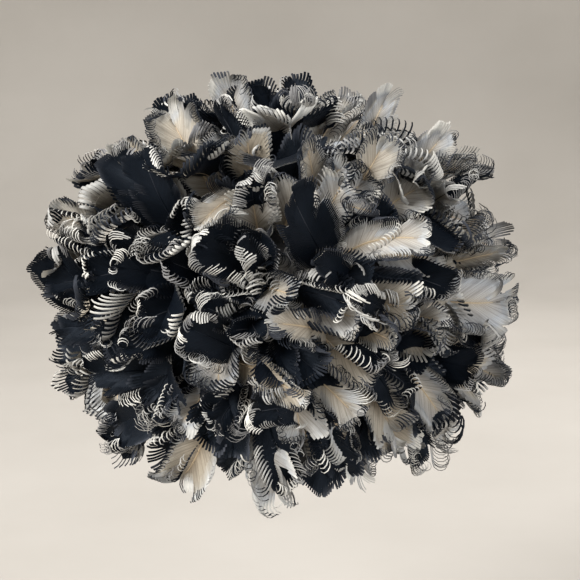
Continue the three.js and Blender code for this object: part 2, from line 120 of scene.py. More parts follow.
TONGUE_FROM = 0.8  # from this share of the shaft on, many locks are tongues
TONGUE_SHARE = 0.4  # how many of them
LOCK_STRIPS = (4, 11)  # fewest strips of a lock, and one more than the most
LOCK_ROUNDING = 0.35  # how much less the outer strips of a lock turn than its middle one
LAP_SCATTER = (0.75, 1.1)  # from lock to lock, times STRIP_LAP
LARGEST_LEAN = 85  # degrees, as are the next four
LEAN_SCATTER = 12
LOCK_SWING = 6  # sideways, of a whole lock
LOOSE_SWING = 25  # of single strips, times how loosely they lie
STANDING_TURN = 90  # a strip that turns so far or further stands out by its whole radius
LEAST_LEAN = 0.4  # as a share of the kind's lean
SMALLEST_RADIUS = 1.7 * MM
QUILL_PART = 0.25  # share of the shaft beside the quill on which the curls grow to their full size
QUILL_TURN = 0.3  # least share of its turn that a curl has there
QUILL_RADIUS = 0.5  # share of its radius that a curl has in any case

# What varies from feather to feather: least and largest values
CUP = (0.12, 0.34)  # rise of the vane's edges, as a share of half the feather's width
RIPPLE = (0.6, 1.8)  # of the vane, in mm
WAVES = (9, 16)  # of that ripple, in radians from quill to tip
PHASE = (0, 6.28)
RADIUS_SCATTER = (0.85, 1.15)
DRIFT = (-0.1, 0.5)  # of a curl towards the feather's tip, as a share of half its way
FIRST_SEED = 1000

# How the barbs stand along the shaft: the angle between barb and shaft, and the barb's length as a
# share of half the feather's width
BARBS = [
    # along, angle, length
    (0.00, 60, 0.50),
    (0.12, 55, 0.94),
    (0.35, 45, 1.38),
    (0.65, 36, 1.60),
    (0.86, 28, 1.50),
    (0.95, 14, 1.30),
    (1.00, 2, 1.10),
]

# Feathers that the front view shows, in half widths of the cover: where the quill starts, the way
# that the feather points in degrees from the right, how far it reaches, its width as a share of the
# usual one, which face shows, how far its tip rises to the cover and how far it is rolled
FRONT_FACING = 0.8  # how far the faces turn to the viewer
FRONT_ROWS = [
    # across, up, heading, reach, width, face, rise, roll
    # left, tips to the left and up
    (-0.43, 0.19, 131, 0.47, 1.25, "dark", 1.0, 0),
    (-0.41, 0.19, 117, 0.42, 1.1, "dark", 0.95, 0),
    (-0.7, 0.17, 136, 0.36, 0.4, "dark", 0.8, 0),
    (-0.58, 0.33, 114, 0.28, 0.35, "pale", 0.8, 0),
    (-0.62, 0.06, 132, 0.35, 1.1, "dark", 0.85, 0),
    (-0.47, 0.04, 148, 0.33, 0.8, "dark", 0.95, 0),
    (-0.68, -0.08, 141, 0.4, 1.5, "dark", 1.0, 0),
    (-0.42, -0.04, 165, 0.36, 1.0, "dark", 1.0, 0),
    (-0.66, -0.13, 169, 0.32, 0.55, "dark", 0.9, 0),
    (-0.62, -0.17, 187, 0.33, 0.9, "dark", 0.9, 0),
    (-0.39, -0.25, 187, 0.33, 0.75, "dark", 0.95, 0),
    # lower left
    (-0.47, -0.4, 182, 0.35, 1.05, "dark", 0.9, 0),
    (-0.33, -0.43, 208, 0.41, 1.2, "dark", 1.0, 0),
    (-0.3, -0.44, 233, 0.25, 0.85, "pale", 0.85, 0),
    (-0.14, -0.48, 231, 0.22, 0.85, "dark", 0.9, 0),
    (-0.16, -0.31, 157, 0.33, 1.2, "dark", 1.0, 0),
    # upper middle and left of it
    (-0.27, 0.35, 120, 0.43, 1.2, "pale", 0.95, 0),
    (-0.16, 0.42, 112, 0.38, 0.75, "dark", 1.0, 50),
    (-0.12, 0.44, 157, 0.27, 0.65, "pale", 0.8, 0),
    (-0.1, 0.33, 207, 0.33, 1.0, "pale", 0.9, 0),
    (-0.03, 0.31, 135, 0.19, 0.75, "dark", 0.95, 0),
    (-0.07, 0.23, 102, 0.25, 1.0, "dark", 0.9, 0),
    # middle
    (-0.1, 0.0, 153, 0.36, 1.45, "dark", 1.0, 0),
    (-0.23, 0.04, 142, 0.23, 0.85, "pale", 1.0, 0),
    (-0.07, 0.02, 125, 0.22, 0.75, "dark", 1.0, 0),
    (0.2, 0.09, 118, 0.38, 1.5, "dark", 1.0, 0),
    (0.28, -0.08, 138, 0.25, 0.9, "dark", 1.0, 0),
    (0.45, -0.15, 157, 0.27, 0.9, "dark", 1.0, 0),
    (-0.16, -0.15, 165, 0.24, 0.75, "dark", 0.95, 0),
    (-0.07, -0.27, 168, 0.2, 0.6, "dark", 0.9, 0),
    (0.2, -0.24, 169, 0.3, 0.9, "pale", 0.95, 0),
    # top, with the rose-like whorl to the right
    (-0.03, 0.5, 93, 0.34, 0.95, "dark", 0.95, 0),
    (0.01, 0.67, 57, 0.24, 0.5, "dark", 1.0, 0),
    (0.03, 0.63, 35, 0.22, 0.6, "dark", 1.0, 0),
    (0.22, 0.65, 34, 0.2, 0.55, "dark", 1.0, 0),
    (0.17, 0.65, 84, 0.17, 0.6, "dark", 0.95, 0),
    (0.15, 0.35, 100, 0.3, 1.0, "pale", 0.95, 0),
    (0.24, 0.31, 56, 0.4, 1.1, "pale", 1.0, 0),
    (0.43, 0.27, 92, 0.23, 0.5, "dark", 1.0, 0),
    (0.4, 0.23, 155, 0.24, 0.7, "pale", 0.9, 0),
    # upper right
    (0.43, 0.62, 77, 0.22, 0.85, "pale", 1.0, 0),
    (0.49, 0.46, 40, 0.31, 0.9, "pale", 1.0, 0),
    (0.51, 0.38, 21, 0.37, 0.85, "pale", 1.0, 0),
    (0.8, 0.23, 71, 0.29, 0.65, "dark", 1.0, -40),
    (0.51, 0.23, 87, 0.17, 0.45, "dark", 0.95, 0),
    (0.53, 0.23, 32, 0.21, 0.65, "dark", 0.95, 0),
    (0.7, 0.17, 46, 0.26, 0.75, "pale", 0.95, 0),
    # right
    (0.25, 0.09, 10, 0.44, 1.1, "pale", 1.0, 0),
    (0.48, -0.05, -4, 0.51, 1.5, "pale", 1.0, 0),
    (0.68, 0.08, 9, 0.32, 0.7, "pale", 0.85, 0),
    (0.49, -0.17, -7, 0.26, 0.75, "pale", 0.95, 0),
    (0.68, -0.23, 31, 0.19, 0.65, "dark", 1.0, 0),
    (0.61, -0.31, -14, 0.26, 1.1, "dark", 0.95, 0),
    (0.78, -0.35, -27, 0.23, 0.85, "pale", 0.9, 0),
    # lower middle and right
    (-0.21, -0.34, -29, 0.4, 1.0, "pale", 1.0, 0),
    (0.13, -0.56, 184, 0.3, 1.1, "dark", 1.0, 0),
    (-0.07, -0.65, 226, 0.24, 0.6, "dark", 0.9, 0),
    (0.11, -0.38, -44, 0.32, 1.0, "pale", 0.95, 0),
    (0.28, -0.22, -16, 0.25, 0.8, "pale", 0.95, 0),
    (0.39, -0.29, -56, 0.15, 0.6, "dark", 1.0, 0),
    (0.49, -0.33, -53, 0.35, 1.1, "pale", 1.0, 0),
    (0.4, -0.48, -63, 0.28, 0.8, "pale", 0.9, 0),
    (0.24, -0.67, 228, 0.25, 1.0, "dark", 1.0, 0),
    (0.32, -0.63, -84, 0.22, 0.65, "pale", 0.95, 0),
    (0.55, -0.58, -82, 0.23, 0.8, "dark", 0.9, 0),
    (0.72, -0.48, -38, 0.17, 0.5, "pale", 0.9, 0),
    (0.09, -0.63, -75, 0.17, 0.55, "pale", 0.85, 0),
    (0.22, -0.58, -68, 0.22, 0.75, "dark", 0.95, 0),
]

# Belts of feathers round the sides and back: how many degrees above the level, where on the way round
# they start and end, how many feathers, and how far these reach and rise
BELTS = [
    # above, from, to, count, reach, rise
    (-36, 82, 278, 10, 0.36, 0.95),
    (-10, 70, 290, 13, 0.38, 1.0),
    (16, 82, 278, 12, 0.38, 0.97),
    (42, 74, 286, 9, 0.38, 1.0),
    (70, 90, 270, 4, 0.36, 0.97),
]
BELT_HEADING = -66
BELT_SCATTER = 70  # of the headings
BELT_WIDTH = 1.15
BELT_WIDENING = 0.45  # how much wider the widest are
BELT_DARK_SHARE = 0.58
BELT_DARK_SLOPE = 0.3  # fewer of them are dark towards the right
BELT_COARSENESS = 1.15  # how much wider the strips are than in front
SHORTEST_REACH = 0.85  # of a belt's or ring's feathers, as a share of the reach in its row
REACH_SCATTER = 0.3

# Short feathers low down between the others: belts round the sides, back and top
UNDERGROWTH = [
    # above, from, to, count, reach, rise
    (-34, 50, 310, 14, 0.24, 0.64),
    (-14, 30, 330, 18, 0.36, 0.66),
    (8, 30, 330, 18, 0.36, 0.66),
    (30, 32, 328, 16, 0.36, 0.66),
    (52, 32, 328, 11, 0.36, 0.66),
    (64, -24, 336, 11, 0.36, 0.62),
    (86, 0, 360, 7, 0.34, 0.66),
    (-26, 120, 250, 6, 0.34, 0.56),
    (-2, 96, 264, 9, 0.36, 0.56),
    (20, 90, 270, 10, 0.36, 0.56),
    (42, 90, 270, 8, 0.36, 0.56),
]
UNDERGROWTH_WIDTH = 1.45
UNDERGROWTH_WIDENING = 0.3
UNDERGROWTH_COARSENESS = 2.0

# More of them in front, in rings about the point that the front feathers turn away from: how far out
# a ring lies, how many feathers it has, where the first one stands and how far they point away from
# straight out, both in degrees, and how far they reach and rise
FAN_POINT = (-0.14, -0.02)
FILL_RINGS = [
    # out, count, first, aim, reach, rise
    (0.16, 7, 20, 160, 0.28, 0.30),
    (0.06, 5, 60, 0, 0.24, 0.78),
    (0.24, 9, 10, 0, 0.28, 0.76),
    (0.42, 12, 25, 0, 0.30, 0.74),
    (0.60, 16, 5, 0, 0.30, 0.74),
    (0.34, 11, 0, 0, 0.34, 0.50),
    (0.55, 15, 14, 0, 0.32, 0.50),
]

# And single ones, in the columns of the front feathers
FILL_ROWS = [
    (0.40, -0.46, -75, 0.28, 1.2, "pale", 0.62, 0),
    (0.36, -0.52, -105, 0.24, 1.1, "dark", 0.62, 0),
    (0.02, -0.07, -10, 0.30, 1.1, "dark", 0.70, 0),
    (0.00, -0.20, -50, 0.28, 1.1, "dark", 0.70, 0),
    (0.42, -0.23, -25, 0.26, 1.1, "dark", 0.70, 0),
    (-0.40, -0.54, 208, 0.18, 1.0, "dark", 0.64, 0),
    (-0.25, -0.57, 226, 0.16, 1.0, "dark", 0.64, 0),
    (0.15, 0.24, 60, 0.26, 1.1, "pale", 0.70, 0),
    (-0.09, 0.16, 100, 0.26, 1.1, "pale", 0.70, 0),
    (-0.30, 0.02, 160, 0.24, 1.0, "dark", 0.70, 0),
    (0.04, 0.60, 80, 0.22, 1.0, "dark", 0.75, 0),
]
FILL_SCATTER = 44  # of the headings
FILL_WIDTH = 0.9
FILL_WIDENING = 0.4
FILL_FARTHEST = 0.74  # from the middle that a fill feather starts
FILL_LIMIT = 0.98  # the outline that the fill feathers end inside
FILL_MARGIN = 0.35  # by which the outer ones are shortened
FILL_FLATNESS = 0.86  # height of the outline as a share of its width
FILL_DARK_SHARE = 0.5
FILL_DARK_SLOPE = 0.6  # fewer of them are dark towards the right
FILL_COARSENESS = 1.5

# Steps of the numbers that scatter the feathers evenly
SCATTER = {
    "heading": 0.618034, "reach": 0.754878, "width": 0.56984, "face": 0.41421, "sweep": 0.73205,
}
SWEEP = 0.2  # how far the middle of a shaft may lie to one side, as a share of its length

# Pads from the rim up: rows of the cap, where the first sector starts, and the sectors' names
TIERS = [
    ((0, 3), -60, ("rim_front_left", "rim_front_right", "rim_right", "rim_back_right",
                   "rim_back_left", "rim_left")),
    ((3, 6), -36, ("side_front", "side_right", "side_back_right", "side_back_left", "side_left")),
    ((6, 9), 0, ("crown_right", "crown_back", "crown_left")),
]

# The camera's picture, the floor that curves up into a wall all round, and the lights
PICTURE = 580  # pixels a side
HAT_MIDDLE = (281, 280)  # where the middle of the hat is in the picture
HAT_PIXELS = 464  # width of the cover in the picture
SENSOR = 36.0  # width of the camera's sensor in mm
NEAREST = 0.01
FLOOR_DROP = 0.30
STAGE_RADIUS = 3.0
STAGE_BEND = 0.8
STAGE_HEIGHT = 4.0
STAGE_STEPS = 12  # of the bend
STAGE_AROUND = 48
LIGHTS = [
    # name, place, size, power, color
    ("window", (-1.5, -1.2, 1.3), 1.2, 88, (1.0, 0.99, 0.97)),
    ("fill", (1.6, -1.4, 0.5), 1.6, 30, (0.93, 0.96, 1.0)),
    ("back", (0.5, 1.7, 1.5), 1.4, 40, (1.0, 0.98, 0.96)),
]
ROOM_COLOR = (0.9, 0.88, 0.85, 1)
ROOM_STRENGTH = 0.6

# Colours of the materials: each row is a stop of a ramp, with its position and colour
COLORS = {
    "black_vane": [(0.3, (0.0012, 0.0018, 0.003)), (0.7, (0.0036, 0.006, 0.0105))],
    "black_curl": [(0.3, (0.006, 0.008, 0.012)), (1.0, (0.075, 0.08, 0.095))],
    "ivory_outer": [
        (0.05, (0.38, 0.34, 0.27)), (0.35, (0.50, 0.47, 0.41)),
        (0.7, (0.44, 0.47, 0.51)), (0.95, (0.28, 0.29, 0.30)),
    ],
    "ivory_inner": [(0.1, (0.32, 0.255, 0.175)), (0.8, (0.48, 0.42, 0.33))],
    "ivory_streaks": [(0.32, (0.5, 0.48, 0.46)), (0.6, (1, 1, 1))],
    "ivory_bands": [(0.36, (0.60, 0.58, 0.56)), (0.58, (1, 1, 1))],
    # Painted light and shade: the pale curls run from shaded grey to lit white by their tone
    "ivory_curl_lit_and_shaded": [
        (0.05, (0.13, 0.135, 0.15)), (0.45, (0.34, 0.34, 0.33)), (0.95, (0.74, 0.72, 0.66)),
    ],
    "horn": [(0.2, (0.42, 0.31, 0.19)), (0.8, (0.66, 0.54, 0.38))],
    # The cap is near black, which also paints the shade in the gaps where bare cap shows between
    # feathers
    "buckram_and_gap_shade": [(0.1, (0.006, 0.006, 0.007)), (0.6, (0.014, 0.014, 0.016))],
    "plaster": [(0.3, (0.43, 0.405, 0.37)), (0.7, (0.48, 0.455, 0.42))],
}

# How far one colour gives way to another: each row is an edge value and a share
BLENDS = {
    "black_to_curl": [(0.6, 0), (0.9, 0.7)],
    "inner_to_outer": [(0.0, 0), (0.12, 0.45), (0.45, 1)],
    "ivory_to_curl": [(0.56, 0), (0.75, 0.85)],
}
STREAK_DEPTH = 0.7
BAND_DEPTH = 0.75

# Scales of the patterns, per metre: out from the shaft and along it, or all ways alike
BARB_SCALE = (60, 2600)
BAND_SCALE = (12, 420)
WEAVE_SCALE = 900.0
CLOUD_SCALE = 3.0
BARB_DEPTH = 0.3 * MM
WEAVE_DEPTH = 0.4 * MM


# Where feathers stand

def scatter(number, step):
    return ((number + 1) * step) % 1


def unit(vector):
    return vector / np.linalg.norm(vector)


BULGE_SPREAD = 1 / math.sqrt(1 - (BULGE_LEVEL / (CAP_HEIGHT - BULGE_LEVEL)) ** 2)
CAP_INSIDE = np.array([
    OPENING_WIDTH / 2 * BULGE_SPREAD,
    OPENING_DEPTH / 2 * BULGE_SPREAD,
    CAP_HEIGHT - BULGE_LEVEL,
])
BED = CAP_INSIDE + CAP_WALL + SEAT_GAP + BACKING - QUILL_ROOT
COVER = np.array([COVER_WIDTH, COVER_DEPTH, COVER_HEIGHT]) / 2
COVER_LEVEL = COVER_HEIGHT / 2 - COVER_DROP
SKIRT = np.array([
    OPENING_WIDTH / 2 + CAP_WALL + SKIRT_SPREAD,
    OPENING_DEPTH / 2 + CAP_WALL + SKIRT_SPREAD,
    np.inf,
])
RIM_ANGLE = -math.asin(BULGE_LEVEL / BED[2])
ROW_HEIGHT = BED[2] * (math.pi / 2 - RIM_ANGLE) / CAP_ROWS


def view_of(round_deg, above_deg):
    """The right, up and towards-the-viewer directions of a view of the hat, and its eye."""
    turn = math.radians(round_deg)
    above = math.radians(above_deg)
    right = np.array([math.cos(turn), math.sin(turn), 0.0])
    to_viewer = np.array([
        math.sin(turn) * math.cos(above), -math.cos(turn) * math.cos(above), math.sin(above),
    ])
    eye = np.array([0, 0, COVER_LEVEL]) + VIEW_DISTANCE * to_viewer
    return right, np.cross(to_viewer, right), to_viewer, eye


def travel_to(half, place, direction):
    """How far a place moves to reach an ellipsoid about the origin, and whether it meets it."""
    start = place / half
    step = direction / half
    nearest = -start.dot(step) / step.dot(step)
    depth = nearest ** 2 - (start.dot(start) - 1) / step.dot(step)
    return nearest + math.sqrt(max(depth, 0.0)), depth >= 0


def in_view(view, across, up):
    right, upward, _, _ = view
    return np.array([0, 0, COVER_LEVEL]) + COVER[0] * (across * right + up * upward)


def on_bed(view, across, up):
    place = in_view(view, across, up)
    sight = unit(view[3] - place)
    place[2] -= BULGE_LEVEL
    travel, meets = travel_to(BED, place, sight)
    place += travel * sight
    if not meets:
        place /= np.linalg.norm(place / BED)
    place[2] += BULGE_LEVEL
    return place


def under_cover(view, across, up, rise):
    half = BED + (COVER - BED) * rise
    level = BULGE_LEVEL + (COVER_LEVEL - BULGE_LEVEL) * rise
    place = in_view(view, across, up)
    sight = unit(view[3] - place)
    place[2] -= level
    place += travel_to(half, place, sight)[0] * sight
    place[2] += level
    if place[2] < BULGE_LEVEL:
        ahead = unit(np.array([sight[0], sight[1], max(sight[2], 0)]))
        place += max(travel_to(SKIRT, place, ahead)[0], 0) * ahead
    return place


def bed_point(round_deg, row):
    rise = RIM_ANGLE + (math.pi / 2 - RIM_ANGLE) * row / CAP_ROWS
    turn = math.radians(round_deg)
    shares = np.array([
        math.cos(rise) * math.sin(turn), -math.cos(rise) * math.cos(turn), math.sin(rise),
    ])
    return shares * BED + (0, 0, BULGE_LEVEL)


def settle(point):
    """The pad that a quill starts on, and its place kept clear of that pad's edges."""
    place_round = math.degrees(math.atan2(point[0] / BED[0], -point[1] / BED[1]))
    sine = min(max((point[2] - BULGE_LEVEL) / BED[2], -1), 1)
    place_row = CAP_ROWS * (math.asin(sine) - RIM_ANGLE) / (math.pi / 2 - RIM_ANGLE)
    rows, first, names = next((tier for tier in TIERS if place_row <= tier[0][1]), TIERS[-1])
    inset = QUILL_INSET / ROW_HEIGHT
    low = (LIFT_FROM_RIM + QUILL_INSET) / ROW_HEIGHT if rows[0] == 0 else rows[0] + inset
    high = CAP_ROWS if rows[1] == CAP_ROWS else rows[1] - inset
    row = min(max(place_row, low), high)
    span = 360 / len(names)
    turn = (place_round - first) % 360
    index = int(turn // span)
    radius = BED[0] * math.cos(RIM_ANGLE + (math.pi / 2 - RIM_ANGLE) * row / CAP_ROWS)
    side_inset = math.degrees(QUILL_INSET / radius)
    kept = min(max(turn - index * span, side_inset), span - side_inset)
    return names[index], bed_point(first + index * span + kept, row)


class Feather:
    """One feather's place: its pad, and the curve of its shaft from quill to tip."""

    def __init__(self, view, facing, row, number, coarseness=1.0):
        across, up, heading, reach, width, face, rise, roll = row
        self.pad, self.quill = settle(on_bed(view, across, up))
        turn = math.radians(heading)
        self.tip = under_cover(
            view, across + reach * math.cos(turn), up + reach * math.sin(turn), rise,
        )
        self.length = np.linalg.norm(self.tip - self.quill)
        along = unit(self.tip - self.quill)
        middle = (self.quill + self.tip) / 2
        outward = unit((middle - (0, 0, BULGE_LEVEL)) / BED ** 2) + facing * view[2]
        outward = unit(outward - outward.dot(along) * along)
        side = np.cross(along, outward)
        rolled = math.radians(roll)
        outward = math.cos(rolled) * outward + math.sin(rolled) * np.cross(along, outward)
        self.side = np.cross(along, outward)
        sweep = SWEEP * (2 * scatter(number, SCATTER["sweep"]) - 1)
        self.bend = middle + self.length * (2 * FEATHER_ARCH * outward + sweep * self.side)
        self.half_width = width * FEATHER_WIDTH / 2
        self.dark = face == "dark"
        self.number = number
        self.coarseness = coarseness

    def shaft(self, share):
        """Points and directions of the shaft at an array of shares of its length."""
        share = np.asarray(share)[..., None]
        back = 1 - share
        point = back ** 2 * self.quill + 2 * back * share * self.bend + share ** 2 * self.tip
        along = 2 * back * (self.bend - self.quill) + 2 * share * (self.tip - self.bend)
        along = along / np.linalg.norm(along, axis=-1, keepdims=True)
        return point, along


def belt_rows(belts, widths):
    """Rows of feathers seen straight on from their own direction, with the view of each."""
    number = 0
    for above, start, end, count, reach, rise in belts:
        for i in range(count):
            round_deg = start + (end - start) * (i + 0.5) / count
            dark_share = BELT_DARK_SHARE - BELT_DARK_SLOPE * math.sin(math.radians(round_deg))
            row = (
                0, 0,
                BELT_HEADING + BELT_SCATTER * (scatter(number, SCATTER["heading"]) - 0.5),
                reach * (SHORTEST_REACH + REACH_SCATTER * scatter(number, SCATTER["reach"])),
                widths[0] + widths[1] * scatter(number, SCATTER["width"]),
                "dark" if scatter(number, SCATTER["face"]) < dark_share else "pale",
                rise, 0,
            )
            yield view_of(round_deg, above), row
            number += 1


def front_fill():
    """Rows of the feathers that fill the front, in the columns of the front feathers."""
    rows = []
    for out, count, first, aim, reach, rise in FILL_RINGS:
        for i in range(count):
            number = len(rows)
            turn = first + 360 * i / count
            across = FAN_POINT[0] + out * math.cos(math.radians(turn))
            up = FAN_POINT[1] + out * math.sin(math.radians(turn))
            if math.hypot(across, up) > FILL_FARTHEST:
                continue
            room = FILL_LIMIT / math.hypot(across, up / FILL_FLATNESS) - FILL_MARGIN
            kept = reach * min(1, room)
            pale = scatter(number, SCATTER["face"]) > FILL_DARK_SHARE - FILL_DARK_SLOPE * across
            rows.append((
                across, up,
                turn + aim + FILL_SCATTER * (scatter(number, SCATTER["heading"]) - 0.5),
                kept * (SHORTEST_REACH + REACH_SCATTER * scatter(number, SCATTER["reach"])),
                FILL_WIDTH + FILL_WIDENING * scatter(number, SCATTER["width"]),
                "pale" if pale else "dark", rise, 0,
            ))
    return rows + FILL_ROWS


def all_feathers():
    feathers = []
    front = view_of(0, FRONT_ABOVE)
    for row in FRONT_ROWS:
        feathers.append(Feather(front, FRONT_FACING, row, len(feathers)))
    for row in front_fill():
        feathers.append(Feather(front, FRONT_FACING, row, len(feathers), FILL_COARSENESS))
    for view, row in belt_rows(BELTS, (BELT_WIDTH, BELT_WIDENING)):
        feathers.append(Feather(view, 0.0, row, len(feathers), BELT_COARSENESS))
    for view, row in belt_rows(UNDERGROWTH, (UNDERGROWTH_WIDTH, UNDERGROWTH_WIDENING)):
        feathers.append(Feather(view, 0.0, row, len(feathers), UNDERGROWTH_COARSENESS))
    return feathers


# The shape of one feather

class Parts:
    """Corners and faces of one piece, with each corner's barb coordinates, tone and edge value."""

    def __init__(self):
        self.corners = []
        self.coordinates = []
        self.tones = []
        self.quads = []
        self.quad_materials = []
        self.triangles = []
        self.triangle_materials = []
        self.size = 0

    def add(self, corners, coordinates, tones, quads, materials, triangles=(), triangle_material=0):
        corners = corners.reshape(-1, 3)
        self.corners.append(corners)
        self.coordinates.append(coordinates.reshape(-1, 2))
        self.tones.append(tones.reshape(-1, 2))
        self.quads.append(quads.reshape(-1, 4) + self.size)
        self.quad_materials.append(materials.reshape(-1))
        triangles = np.array(triangles, int).reshape(-1, 3)
        self.triangles.append(triangles + self.size)
        self.triangle_materials.append(np.full(len(triangles), triangle_material))
        self.size += len(corners)

    def to_object(self, name, materials):
        corners = np.concatenate(self.corners)
        quads = np.concatenate(self.quads)
        triangles = np.concatenate(self.triangles)
        loops = np.concatenate([quads.ravel(), triangles.ravel()])
        starts = np.concatenate([
            np.arange(len(quads)) * 4, len(quads) * 4 + np.arange(len(triangles)) * 3,
        ])
        mesh = bpy.data.meshes.new(name)
        mesh.vertices.add(len(corners))
        mesh.vertices.foreach_set("co", corners.ravel())
        mesh.loops.add(len(loops))
        mesh.loops.foreach_set("vertex_index", loops)
        mesh.polygons.add(len(starts))
        mesh.polygons.foreach_set("loop_start", starts)
        mesh.polygons.foreach_set("material_index", np.concatenate(
            self.quad_materials + self.triangle_materials))
        barbs = mesh.uv_layers.new(name="barbs")
        barbs.data.foreach_set("uv", np.concatenate(self.coordinates)[loops].ravel())
        tones = np.concatenate(self.tones)
        for index, attribute in enumerate(("tone", "edge")):
            layer = mesh.attributes.new(attribute, "FLOAT", "POINT")
            layer.data.foreach_set("value", tones[:, index].copy())
        for material in materials:
            mesh.materials.append(material)
        mesh.update(calc_edges=True)
        mesh.shade_smooth()
        mesh.set_sharp_from_angle(angle=SMOOTH_UP_TO)
        piece = bpy.data.objects.new(name, mesh)
        bpy.context.scene.collection.objects.link(piece)
        return piece


def grid_quads(rows, columns):
    """Corner numbers of the quads between rings of corners, whose last column meets the first."""
    r = np.arange(rows - 1)[:, None]
    c = np.arange(columns)[None, :]
    following = (c + 1) % columns
    return np.stack([
        r * columns + c, r * columns + following,
        (r + 1) * columns + following, (r + 1) * columns + c,
    ], axis=-1)


def barb_frame(feather, share, sign):
    """Points and directions of the shaft, and the barbs' directions, outward sides and lengths."""
    table = np.array(BARBS, float)
    angle = np.radians(np.interp(share, table[:, 0], table[:, 1]))
    length = np.interp(share, table[:, 0], table[:, 2]) * feather.half_width
    ahead = feather.length * (1 - share * SHAFT_END)
    length = np.minimum(length, ahead / np.maximum(np.cos(angle), SMALLEST_COSINE))
    point, along = feather.shaft(share * SHAFT_END)
    outward = np.cross(feather.side, along)
    barb = np.cos(angle)[..., None] * along + sign * np.sin(angle)[..., None] * feather.side
    return point, along, barb, outward, length


def vane_rise(feather, look, share, out):
    """How far the vane lifts above the shaft at shares along the shaft and out along the barbs."""
    cupped = look["cup"] * feather.half_width * out ** 2
    ripple = look["ripple"] * np.sin(look["waves"] * share + look["phase"]) * out
    return cupped + ripple


def add_vane(parts, feather, look, margins):
    """The middle of the vane, a thin closed sheet on both sides of the shaft."""
    rows = int(VANE_ROWS / feather.coarseness)
    share = np.linspace(VANE_START, 1, rows)
    sides = {-1: [], 1: []}
    for sign, lines in sides.items():
        point, _, barb, outward, length = barb_frame(feather, share, sign)
        margin = np.interp(share, margins[sign]["share"], margins[sign]["reach"]) - VANE_SHORT
        for step in range(VANE_COLUMNS, 0, -1):
            edge = margin * step / VANE_COLUMNS
            lift = vane_rise(feather, look, share, edge)
            corner = point + (edge * length)[:, None] * barb + lift[:, None] * outward
            lines.append((corner, edge * length, edge))
    point, along = feather.shaft(share * SHAFT_END)
    outward = np.cross(feather.side, along)
    middle = (point, np.zeros(rows), np.zeros(rows))
    lines = sides[-1] + [middle] + sides[1][::-1]
    face, out, edge = (np.stack(values, axis=1) for values in zip(*lines))
    back = face - VANE_THICKNESS * outward[:, None, :]
    width = len(lines)
    ring = np.concatenate([face, back[:, ::-1]], axis=1)
    ring_out = np.concatenate([out, out[:, ::-1]], axis=1)
    ring_edge = np.concatenate([edge, edge[:, ::-1]], axis=1)
    place = np.broadcast_to((share * feather.length)[:, None], ring_out.shape)
    quads = grid_quads(rows, 2 * width)
    materials = np.full((rows - 1, 2 * width), look["back"])
    materials[:, :width - 1] = look["face"]
    ends = []
    for row in (0, rows - 1):
        first = row * 2 * width
        strip = [(first + j, first + j + 1, first + 2 * width - 2 - j, first + 2 * width - 1 - j)
                 for j in range(width - 1)]
        ends += strip if row else [quad[::-1] for quad in strip]
    tones = np.stack([np.full(ring_out.shape, look["tone"]), ring_edge * VANE_EDGE], axis=-1)
    all_quads = np.concatenate([quads.reshape(-1, 4), np.array(ends)])
    all_materials = np.concatenate([materials.ravel(), np.full(len(ends), look["face"])])
    parts.add(ring, np.stack([ring_out, place], axis=-1), tones, all_quads, all_materials)


def strip_shares(feather, pitch, sign):
    """Shares of the shaft where the strips of one side stand, evenly spaced along the outline."""
    share = np.linspace(FIRST_STRIP, 1, OUTLINE_SAMPLES)
    point, _, barb, _, length = barb_frame(feather, share, sign)
    outline = point + length[:, None] * barb
    travelled = np.cumsum(np.linalg.norm(np.diff(outline, axis=0), axis=1))
    travelled = np.concatenate([[0], travelled])
    count = max(int(travelled[-1] / pitch), FEWEST_STRIPS)
    return np.interp(np.linspace(0, travelled[-1], count), travelled, share)


